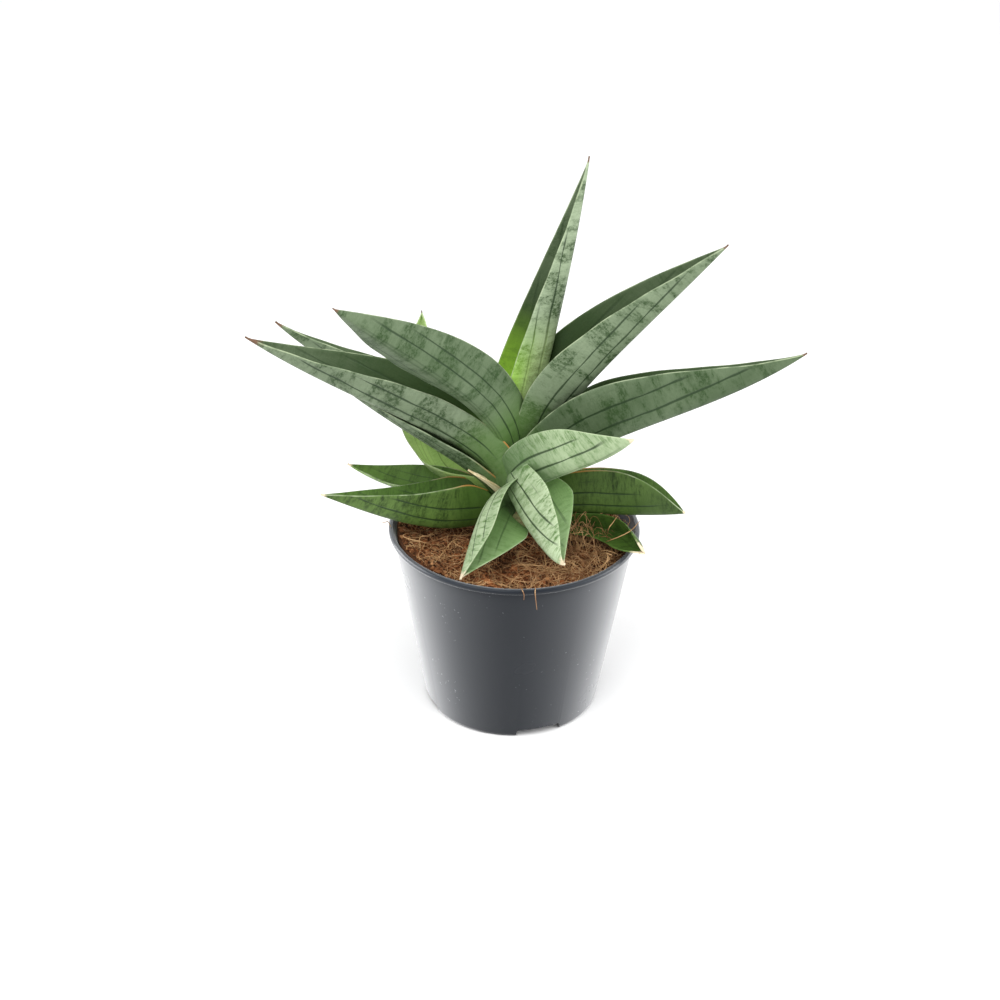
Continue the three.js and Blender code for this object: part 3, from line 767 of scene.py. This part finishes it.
def pot_cutter():
    """The foot notches and drain holes as one solid"""
    start_fresh()
    cutters = []
    depth = FOOT_RADIUS - GROOVE_OUTER + NOTCH_OVERCUT
    middle = GROOVE_OUTER - NOTCH_INSET + depth / 2
    for i in range(NOTCH_COUNT):
        bearing = math.radians(NOTCH_BEARING + i * 360 / NOTCH_COUNT)
        centre = turned_about_z((middle * MM, 0, (GROOVE_HEIGHT / 2 - 1) * MM), bearing)
        size = (depth * MM, NOTCH_WIDTH * MM, (GROOVE_HEIGHT + 2) * MM)
        bpy.ops.mesh.primitive_cube_add(
            size=1, location=centre, rotation=(0, 0, bearing), scale=size
        )
        bpy.ops.object.mode_set(mode="EDIT")
        bpy.ops.mesh.select_mode(type="EDGE")
        bpy.ops.mesh.select_all(action="DESELECT")
        bpy.ops.object.mode_set(mode="OBJECT")
        block = bpy.context.object
        for edge in block.data.edges:
            ends = [block.data.vertices[k].co for k in edge.vertices]
            edge.select = min(end.z for end in ends) > 0 and ends[0].y * ends[1].y > 0
        bpy.ops.object.transform_apply(location=False, rotation=False, scale=True)
        bpy.ops.object.mode_set(mode="EDIT")
        bpy.ops.mesh.bevel(offset=NOTCH_CORNER * MM, segments=6)
        bpy.ops.object.mode_set(mode="OBJECT")
        cutters.append(block)
    for i in range(DRAIN_COUNT):
        bearing = (i + 0.5) * TAU / DRAIN_COUNT
        ring = (GROOVE_INNER + GROOVE_OUTER) / 2
        centre = turned_about_z((ring * MM, 0, (GROOVE_HEIGHT + FLOOR / 2) * MM), bearing)
        bpy.ops.mesh.primitive_cylinder_add(
            vertices=32, radius=DRAIN_RADIUS * MM, depth=4 * FLOOR * MM, location=centre
        )
        cutters.append(bpy.context.object)
    for cutter in cutters:
        pick(cutter)
    bpy.ops.object.join()
    return bpy.context.object


def pot_profile():
    """The pot's wall from the axis out, up the outside and down the inside, in mm"""
    lip = POT_HEIGHT - LIP_HEIGHT
    groove_top = GROOVE_HEIGHT + FLOOR
    raised = GROOVE_INNER - FLOOR
    inner_foot = FOOT_RADIUS - WALL
    return (
        (0, 0), (GROOVE_INNER - GROOVE_DRAFT, 0),
        (GROOVE_INNER, GROOVE_HEIGHT), (GROOVE_OUTER, GROOVE_HEIGHT),
        (GROOVE_OUTER + GROOVE_DRAFT, 0), (FOOT_RADIUS - FOOT_ROUND, 0),
        (FOOT_RADIUS - 0.25 * FOOT_ROUND, 0.3 * FOOT_ROUND), (FOOT_RADIUS, FOOT_ROUND),
        (NECK_RADIUS, lip - NECK_ROUND), (NECK_RADIUS + 0.7 * NECK_ROUND, lip + 0.4),
        (RIM_RADIUS - 2 * LIP_ROUND, lip + LIP_ROUND), (RIM_RADIUS - 1.4 * LIP_ROUND, lip),
        (RIM_RADIUS - 0.3 * LIP_ROUND, lip), (RIM_RADIUS, lip + LIP_ROUND),
        (RIM_RADIUS, POT_HEIGHT - LIP_ROUND), (RIM_RADIUS - LIP_ROUND, POT_HEIGHT),
        (LIP_INNER_RADIUS, POT_HEIGHT), (LIP_INNER_RADIUS - 0.5 * NECK_ROUND, POT_HEIGHT - WALL),
        (NECK_RADIUS - WALL, POT_HEIGHT - 4 * WALL),
        (inner_foot + 0.5 * FOOT_ROUND, groove_top + FOOT_ROUND),
        (inner_foot - 0.5 * FOOT_ROUND, groove_top), (raised, groove_top),
        (raised - GROOVE_DRAFT, FLOOR), (0, FLOOR),
    )


def pot_material(settings):
    """Dark moulded plastic with a soft gloss, cloudy patches and specks of dust"""
    material, wires, shader = new_material("Pot plastic")
    place = wires.where()
    cloud = wires.noise(place, 35, detail=3)
    speck = wires.smooth(wires.noise(place, 620, detail=1), 0.7, 0.8)
    patchy = wires.smooth(wires.noise(place, 48, detail=2), 0.55, 0.72)
    marks = wires.times(wires.times(speck, patchy), 0.22)
    base = wires.mix(wires.times(cloud, 0.25), rgba(settings.pot), paint("1b222b"))
    colour = wires.mix(marks, base, paint("a9adb2"))
    rough = wires.plus(wires.scaled(cloud, 0.08, 0.22), wires.times(marks, 0.4))
    wires.set(
        shader, Base_Color=colour, Roughness=rough, Specular_IOR_Level=0.12, Sheen_Weight=0.58,
        Sheen_Roughness=0.4,
    )
    raise_surface(wires, shader, wires.noise(place, 1500, detail=1), 0.03 * MM, 0.1)
    return material


def soil_lumps():
    """Waves of random direction and length whose sum makes the soil's top uneven"""
    state = LUMP_SEED
    waves = []
    for _ in range(LUMP_COUNT):
        drawn = []
        for _ in range(3):
            state = (state * 1664525 + 1013904223) % 2**32
            drawn.append(state / 2**32)
        bearing, pitch = drawn[0] * TAU, 0.12 + 0.3 * drawn[1]
        waves.append((math.cos(bearing) * pitch, math.sin(bearing) * pitch, drawn[2] * TAU))
    return waves


LUMPS = soil_lumps()


def soil_height(x, y):
    """Height of the soil at a place, all in mm"""
    heap = SOIL_HEAP * math.exp(-(x * x + y * y) / SOIL_HEAP_RADIUS**2)
    lump = sum(math.sin(a * x + b * y + phase) for a, b, phase in LUMPS)
    return SOIL_LEVEL - SOIL_SLOPE * x + heap + SOIL_LUMP * lump / math.sqrt(LUMP_COUNT)


def soil_grain(x, y):
    """Fine unevenness of the soil in mm"""
    coarse = noise.fractal(Vector((x, y, 3)) / 5, 0.9, 2.1, 3)
    fine = noise.noise(Vector((x, y, 40)) / 1.3)
    return 0.75 * coarse + 0.35 * fine


def coir_tones():
    """Colour and height of coir: painted shade in the low hollows between grains, rusty pith and
    lighter grains
    """
    tree, wires, given, result = shader_group(
        "Coir tones", {"Ground": "Color", "Light": "Color", "Scale": "Float", "Shift": "Float"},
        {"Color": "Color", "Height": "Float"},
    )
    place = wires.where()
    grain = wires.noise(place, given["Scale"], detail=4, roughness=0.65)
    blotch = wires.noise(place, 90, detail=2)
    # Painted shade: darker colour where the grain is low, in the hollows between grains
    hollow_shade = wires.fade(grain, 0.3, 0.46)
    light = wires.smooth(wires.plus(grain, given["Shift"]), 0.55, 0.8)
    colour = wires.mix(light, given["Ground"], given["Light"])
    rusty = wires.times(wires.smooth(blotch, 0.45, 0.65), 0.5)
    colour = wires.mix(rusty, colour, paint("8a4f26"))
    colour = wires.mix(wires.times(hollow_shade, 0.6), colour, paint("38200f"))
    wires.set(result, Color=colour, Height=grain)
    return tree


def coir_material(name, group, ground, light, scale, shade=None):
    material, wires, shader = new_material(name)
    shift = 0.0
    if shade is not None:
        shift = wires.scaled(wires.attribute(shade, "Fac"), 0.5, -0.25)
    tones = wires.place(group, Ground=rgba(ground), Light=rgba(light), Scale=scale, Shift=shift)
    wires.set(shader, Base_Color=tones["Color"], Roughness=0.85, Specular_IOR_Level=0.25)
    raise_surface(wires, shader, tones["Height"], 0.5 * MM)
    return material


# Crumbs: radius of the smallest, how much more the others have, how many make one chunk and
# a chunk's radius, how far they may pass the soil's edge and how deep they sit, all in mm
CRUMB_SEED = 3
CRUMB_SIZE = 0.45
CRUMB_SPREAD = 0.75
CHUNK_EVERY = 60
CHUNK_SIZE = (1.6, 2.6)
CRUMB_GAP = 0.6
CRUMB_SINK = 0.5
# Fibres: how far out they start, how much room the stem has, their length, rise and radius in
# mm, the most that they turn in radians, and their count of steps
FIBRE_SEED = 8
HAIR = dict(
    reach=53, room=9.5, length=(3, 10), rise=(0.1, 1.6), turn=2.5, steps=7, radius=(0.06, 0.12)
)
STRAND = dict(
    reach=48, room=14, length=(12, 34), rise=(0.8, 3.5), turn=3, steps=16, radius=(0.12, 0.22)
)
TUFT_STRAND = dict(length=(9, 24), rise=(0.2, 1), turn=4, steps=14, radius=(0.09, 0.17))
# Tufts of raised fibres: x, y, spread, count and height of the tallest, all in mm
TUFTS = ((31, -6, 5, 110, 17), (37, -22, 6, 70, 8), (18, -38, 8, 60, 5), (40, 10, 4, 30, 12))
# Single fibres laid one by one, by their knots in mm
LAID_RADIUS = 0.22
LAID_STRANDS = (
    ((-38, -40, 93), (-33, -28, 94), (-28, -16, 94), (-22, -14, 92)),
    ((-8, -39, 91), (0, -47, 92), (8, -47, 91), (13, -38, 90)),
    ((13, -38, 90), (10, -44, 91), (8, -49, 90)),
    ((3, -47, 90), (3, -55, 94), (4, -60, 95), (5, -61, 93), (5, -61, 90)),
    ((9, -44, 90), (9, -54, 95), (10, -60, 96), (10, -62, 94), (11, -61, 85)),
    ((37, 17, 88), (34, -2, 104), (35, -3, 107), (38, -4, 115)),
    ((37, 15, 88), (37, -6, 102), (44, -8, 107), (50, -10, 112), (55, -11, 112)),
    ((37, 12, 88), (35, -6, 105), (32, -5, 108), (30, -5, 108)),
    ((42, -5, 87), (44, -24, 100), (49, -25, 103), (54, -26, 107), (58, -27, 113)),
    ((44, -3, 87), (44, -20, 104), (46, -19, 107), (48, -18, 110)),
    ((-58, -6, 93), (-60, -4, 96), (-61, -4, 96), (-63, -3, 95)),
)


def eased(knots, steps=8):
    """A smooth line through given knots"""
    line = [Vector(knot) for knot in knots]
    line = [2 * line[0] - line[1], *line, 2 * line[-1] - line[-2]]
    points = []
    for a, b, c, d in zip(line, line[1:], line[2:], line[3:]):
        for i in range(steps):
            t = i / steps
            bend = (2 * a - 5 * b + 4 * c - d) * t * t + (3 * b - a - 3 * c + d) * t**3
            points.append(b + (c - a) * t / 2 + bend / 2)
    return [*points, line[-2]]


def strand_path(draw, x, y, length, rise, turn, steps):
    """A fibre from a place on the soil, which turns as it goes, arches and comes down again"""
    bearing = draw.uniform(0, TAU)
    points = []
    for i in range(steps + 1):
        radius = math.hypot(x, y)
        if radius > SOIL_RADIUS - 2.5:
            bearing += 0.6 * math.sin(math.atan2(-y, -x) - bearing)
        lift = rise * math.sin(math.pi * (i / steps)) ** 0.8 + draw.uniform(-0.15, 0.15)
        inside = min(1.0, (SOIL_RADIUS - 0.6) / max(radius, 0.1))
        points.append((x * inside, y * inside, soil_height(x * inside, y * inside) + 0.2 + lift))
        bearing += turn / steps + draw.uniform(-0.22, 0.22)
        x += length / steps * math.cos(bearing)
        y += length / steps * math.sin(bearing)
    return points


def loose_fibre(draw, x, y, kind, tallest=1):
    """A fibre that starts at a place on the soil: its points and its radius in mm"""
    length, rise = draw.uniform(*kind["length"]), draw.uniform(*kind["rise"]) * tallest
    turn = draw.uniform(-kind["turn"], kind["turn"])
    path = strand_path(draw, x, y, length, rise, turn, kind["steps"])
    return path, draw.uniform(*kind["radius"])


def scattered(draw, count, kind):
    """Fibres that lie anywhere on the soil but at the stem"""
    fibres = []
    reach = kind["reach"]
    while len(fibres) < count:
        x, y = draw.uniform(-reach, reach), draw.uniform(-reach, reach)
        if kind["room"] < math.hypot(x, y) < reach:
            fibres.append(loose_fibre(draw, x, y, kind))
    return fibres


def fibre_mass(name, paths):
    """Fibres as one mesh, from (points in mm, radius in mm) pairs"""
    start_fresh()
    curve = bpy.data.curves.new(name, "CURVE")
    curve.dimensions = "3D"
    curve.bevel_depth = MM
    curve.bevel_resolution = 0
    curve.use_fill_caps = True
    for points, radius in paths:
        line = curve.splines.new("POLY")
        line.points.add(len(points) - 1)
        for k, (knot, point) in enumerate(zip(line.points, points)):
            knot.co = (*(value * MM for value in point), 1)
            knot.radius = radius * (1 - 0.45 * abs(2 * k / (len(points) - 1) - 1) ** 3)
    piece = bpy.data.objects.new(name, curve)
    bpy.context.scene.collection.objects.link(piece)
    pick(piece)
    bpy.ops.object.convert(target="MESH")
    piece = bpy.context.object
    bpy.ops.object.shade_smooth()
    return piece


def fibre_material(settings):
    material, wires, shader = new_material("Coir fibre")
    place = wires.where()
    tone = wires.noise(place, 110, detail=2)
    streak = wires.noise(place, 900, detail=2)
    colour = wires.mix(wires.smooth(tone, 0.35, 0.65), paint("845a33"), rgba(settings.fibre))
    colour = wires.mix(wires.smooth(streak, 0.55, 0.8), colour, paint("d9b98c"))
    wires.set(shader, Base_Color=colour, Roughness=0.6)
    raise_surface(wires, shader, streak, 0.05 * MM)
    return material


def shared(name, make):
    """A node group that is built once"""
    return bpy.data.node_groups.get(name) or make()


class PLANT_OT_pot(bpy.types.Operator):
    """Turn the nursery pot and cut its foot notches and drain holes"""

    bl_idname = "plant.make_pot"
    bl_label = "Make pot"

    def execute(self, context):
        pot = lathe("pot_shell", pot_profile(), POT_STEPS, POT_ROUND)
        cutter = pot_cutter()
        start_fresh()
        pick(pot)
        holes = pot.modifiers.new("Holes", "BOOLEAN")
        holes.operation = "DIFFERENCE"
        holes.solver = "EXACT"
        holes.object = cutter
        bake_modifiers(pot)
        bpy.data.objects.remove(cutter)
        bpy.ops.object.shade_smooth_by_angle(angle=POT_CREASE)
        finish_piece(pot, pot_material(context.scene.snake_plant), "pot", "pot")
        bpy.data.collections[SIDE_LIT].objects.link(pot)
        return {"FINISHED"}


class PLANT_OT_soil(bpy.types.Operator):
    """Fill the pot with soil"""

    bl_idname = "plant.make_soil"
    bl_label = "Make soil"

    def execute(self, context):
        settings = context.scene.snake_plant
        bottom = GROOVE_HEIGHT + FLOOR + SOIL_GAP
        side, drop = SOIL_SHOULDER
        profile = [
            (0, bottom), (FOOT_RADIUS - 3 * WALL, bottom), (FOOT_RADIUS - WALL, bottom + 3),
            (SOIL_RADIUS - side, SOIL_LEVEL - drop),
        ]
        for ring in range(SOIL_RINGS + 1):
            profile.append((SOIL_RADIUS * (1 - ring / SOIL_RINGS), SOIL_LEVEL))
        bed = lathe("soil_bed", profile, SOIL_STEPS)
        for vertex in bed.data.vertices:
            if vertex.co.z > (SOIL_LEVEL - 1) * MM:
                x, y = vertex.co.x / MM, vertex.co.y / MM
                vertex.co.z = (soil_height(x, y) + soil_grain(x, y) - BED_DROP) * MM
        bpy.ops.object.shade_smooth()
        group = shared("Coir tones", coir_tones)
        material = coir_material("Soil bed", group, settings.soil, linear("7d5331"), 520)
        finish_piece(bed, material, "soil", "soil")
        return {"FINISHED"}


class PLANT_OT_crumbs(bpy.types.Operator):
    """Scatter crumbs of bark and pith over the soil"""

    bl_idname = "plant.make_crumbs"
    bl_label = "Make crumbs"

    def execute(self, context):
        settings = context.scene.snake_plant
        start_fresh()
        bpy.ops.mesh.primitive_ico_sphere_add(subdivisions=1, radius=1)
        crumbs = context.object
        crumbs.name = crumbs.data.name = "soil_crumbs"
        ball = np.array([vertex.co for vertex in crumbs.data.vertices])
        faces = np.array([face.vertices for face in crumbs.data.polygons])
        draw = random.Random(CRUMB_SEED)
        places, shades = [], []
        for k in range(settings.crumbs):
            bearing = draw.uniform(0, TAU)
            radius = (SOIL_RADIUS - 0.9) * math.sqrt(draw.uniform(0.03, 1))
            x, y = radius * math.cos(bearing), radius * math.sin(bearing)
            size = CRUMB_SIZE + CRUMB_SPREAD * draw.random() ** 2.2
            if k % CHUNK_EVERY == 0:
                size = draw.uniform(*CHUNK_SIZE)
            size = min(size, SOIL_RADIUS + CRUMB_GAP - radius)
            squash = Matrix.Diagonal((1, draw.uniform(0.5, 1), draw.uniform(0.35, 0.8)))
            turn = Matrix.Rotation(draw.uniform(0, TAU), 3, "Z")
            tilt = Matrix.Rotation(draw.uniform(-0.8, 0.8), 3, "X")
            knobs = np.array([[draw.uniform(0.72, 1.2)] for _ in ball])
            matrix = np.array(turn @ tilt @ squash) * size
            sunk = draw.uniform(-0.2, 0.45) * size - CRUMB_SINK
            centre = (x, y, soil_height(x, y) + soil_grain(x, y) + sunk)
            places.append((ball * knobs) @ matrix.T + np.array(centre))
            shades.append(np.full(len(ball), draw.random()))
        points = np.concatenate(places) * MM
        count = len(ball)
        corners = np.concatenate([faces + k * count for k in range(len(places))])
        mesh = crumbs.data
        mesh.clear_geometry()
        mesh.from_pydata(points.tolist(), [], corners.tolist())
        attribute = mesh.attributes.new("shade", "FLOAT", "POINT")
        attribute.data.foreach_set("value", np.concatenate(shades).astype(np.float32))
        group = shared("Coir tones", coir_tones)
        material = coir_material(
            "Crumbs", group, linear("75492a"), linear("b08055"), 700, shade="shade"
        )
        finish_piece(crumbs, material, "soil")
        return {"FINISHED"}


class PLANT_OT_fibres(bpy.types.Operator):
    """Lay coir fibres on the soil, with a taller tuft at the right"""

    bl_idname = "plant.make_fibres"
    bl_label = "Make fibres"

    def execute(self, context):
        settings = context.scene.snake_plant
        draw = random.Random(FIBRE_SEED)
        short = scattered(draw, settings.hairs, HAIR)
        long = scattered(draw, settings.strands, STRAND)
        for x, y, spread, count, tallest in TUFTS:
            for _ in range(count):
                place = draw.gauss(x, spread), draw.gauss(y, spread)
                long.append(loose_fibre(draw, *place, TUFT_STRAND, tallest))
        for knots in LAID_STRANDS:
            long.append((eased(knots), LAID_RADIUS))
        material = fibre_material(settings)
        for name, paths in (("coir_hairs", short), ("coir_strands", long)):
            finish_piece(fibre_mass(name, paths), material, "soil")
        return {"FINISHED"}


class PLANT_OT_stem(bpy.types.Operator):
    """Turn the short ringed stem"""

    bl_idname = "plant.make_stem"
    bl_label = "Make stem"

    def execute(self, context):
        profile = [(0, STEM_FOOT), *STEM_RADII, (0, STEM_RADII[-1][1])]
        stem = lathe("stem_core", profile, STEM_STEPS, STEM_ROUND)
        material, wires, shader = new_material("Stem")
        place = wires.where()
        ring = wires.grain(place, 40, 40, 420, detail=3)
        colour = wires.mix(wires.smooth(ring, 0.4, 0.65), paint("8a8f5c"), paint("6b5536"))
        wires.set(shader, Base_Color=colour, Roughness=0.65)
        raise_surface(wires, shader, ring, 0.4 * MM)
        bpy.ops.object.shade_smooth_by_angle(angle=STEM_CREASE)
        finish_piece(stem, material, "stem", "stem")
        return {"FINISHED"}


class PLANT_OT_blades(bpy.types.Operator):
    """Grow the leaf blades and the dry scale leaf"""

    bl_idname = "plant.make_blades"
    bl_label = "Make leaves"

    def execute(self, context):
        settings = context.scene.snake_plant
        materials = leaf_materials(settings)
        for seed, (node, blade) in enumerate(BLADES.items(), 1):
            piece = grow_blade(node.replace("leaf", "blade"), blade, seed, settings.blade_rows)
            look = blade["look"]
            finish_piece(piece, materials[look], LOOK_SLOTS[look], node)
        scale = grow_blade("dry_scale", DRY_SCALE, SCALE_SEED, SCALE_ROWS)
        finish_piece(scale, materials["dry"], "leaf_dry", "scale_leaf")
        return {"FINISHED"}


# Lamps: place, size, share of the key lamp's power, and whether it lights the pot alone
LAMPS = {
    "key": ((-0.35, -0.55, 1.15), 0.9, 1, False),
    "fill": ((0.9, -0.35, 0.7), 0.8, 0.7, False),
    "left": ((-0.6, 0.1, 0.25), 0.5, 1.8, True),
    "right": ((0.6, 0.1, 0.25), 0.5, 1.2, True),
}
LAMP_AIM = Vector((0, 0, 0.12))
SIDE_LIT = "Lit from the sides"

# Camera
EYE = Vector((0, -0.762, 0.539))
EYE_AIM = Vector((-0.007, 0, 0.107))
EYE_ROLL = math.radians(0.88)


class PLANT_OT_stage(bpy.types.Operator):
    """Set the floor, the soft light and the camera"""

    bl_idname = "plant.make_stage"
    bl_label = "Make stage"

    def execute(self, context):
        stage = context.scene.plant_stage
        start_fresh()
        bpy.ops.mesh.primitive_plane_add(size=12)
        floor = context.object
        floor.name = "floor"
        material, wires, shader = new_material("Floor")
        place = wires.where()
        tone = wires.noise(place, 6, detail=2)
        white = rgba(stage.floor)
        wires.set(
            shader, Base_Color=wires.mix(tone, white, tuple(0.985 * v for v in white)),
            Roughness=0.9,
        )
        floor.data.materials.append(material)

        world = bpy.data.worlds.new("Studio")
        context.scene.world = world
        world.use_nodes = True
        surround = world.node_tree.nodes["Background"].inputs
        surround["Color"].default_value = (1, 1, 1, 1)
        surround["Strength"].default_value = stage.surround
        side_lit = bpy.data.collections.new(SIDE_LIT)
        for name, (place, size, share, pot_alone) in LAMPS.items():
            light = bpy.data.lights.new(name, "AREA")
            light.shape = "SQUARE"
            light.size = size
            light.energy = stage.key * share
            lamp = bpy.data.objects.new(name, light)
            lamp.location = place
            lamp.rotation_euler = (LAMP_AIM - lamp.location).to_track_quat("-Z", "Y").to_euler()
            if pot_alone:
                lamp.light_linking.receiver_collection = side_lit
            context.scene.collection.objects.link(lamp)

        data = bpy.data.cameras.new("camera")
        data.lens = stage.lens
        data.sensor_width = 36
        camera = bpy.data.objects.new("camera", data)
        back = (EYE - EYE_AIM).normalized()
        right = Vector((0, 0, 1)).cross(back).normalized()
        up = back.cross(right)
        rolled = right * math.cos(EYE_ROLL) + up * math.sin(EYE_ROLL)
        matrix = Matrix((rolled, back.cross(rolled), back)).transposed().to_4x4()
        matrix.translation = EYE
        camera.matrix_world = matrix
        context.scene.collection.objects.link(camera)
        context.scene.camera = camera
        context.scene.view_settings.view_transform = "Standard"
        return {"FINISHED"}


STEPS = (
    PLANT_OT_stage, PLANT_OT_pot, PLANT_OT_soil, PLANT_OT_crumbs, PLANT_OT_fibres, PLANT_OT_stem,
    PLANT_OT_blades,
)


class PLANT_PT_panel(bpy.types.Panel):
    """Lists the steps and the settings"""

    bl_label = "Snake plant"
    bl_idname = "PLANT_PT_panel"
    bl_space_type = "VIEW_3D"
    bl_region_type = "UI"
    bl_category = "Snake plant"

    def draw(self, context):
        for settings in (context.scene.plant_stage, context.scene.snake_plant):
            for key in settings.__annotations__:
                self.layout.prop(settings, key)
        for step in STEPS:
            self.layout.operator(step.bl_idname)


CLASSES = (PlantSettings, StageSettings, *STEPS, PLANT_PT_panel)


def register():
    for item in CLASSES:
        bpy.utils.register_class(item)
    bpy.types.Scene.snake_plant = bpy.props.PointerProperty(type=PlantSettings)
    bpy.types.Scene.plant_stage = bpy.props.PointerProperty(type=StageSettings)


def unregister():
    del bpy.types.Scene.plant_stage
    del bpy.types.Scene.snake_plant
    for item in reversed(CLASSES):
        bpy.utils.unregister_class(item)


def main():
    register()
    for step in STEPS:
        getattr(bpy.ops.plant, step.bl_idname.split(".")[1])()


if __name__ == "__main__":
    main()
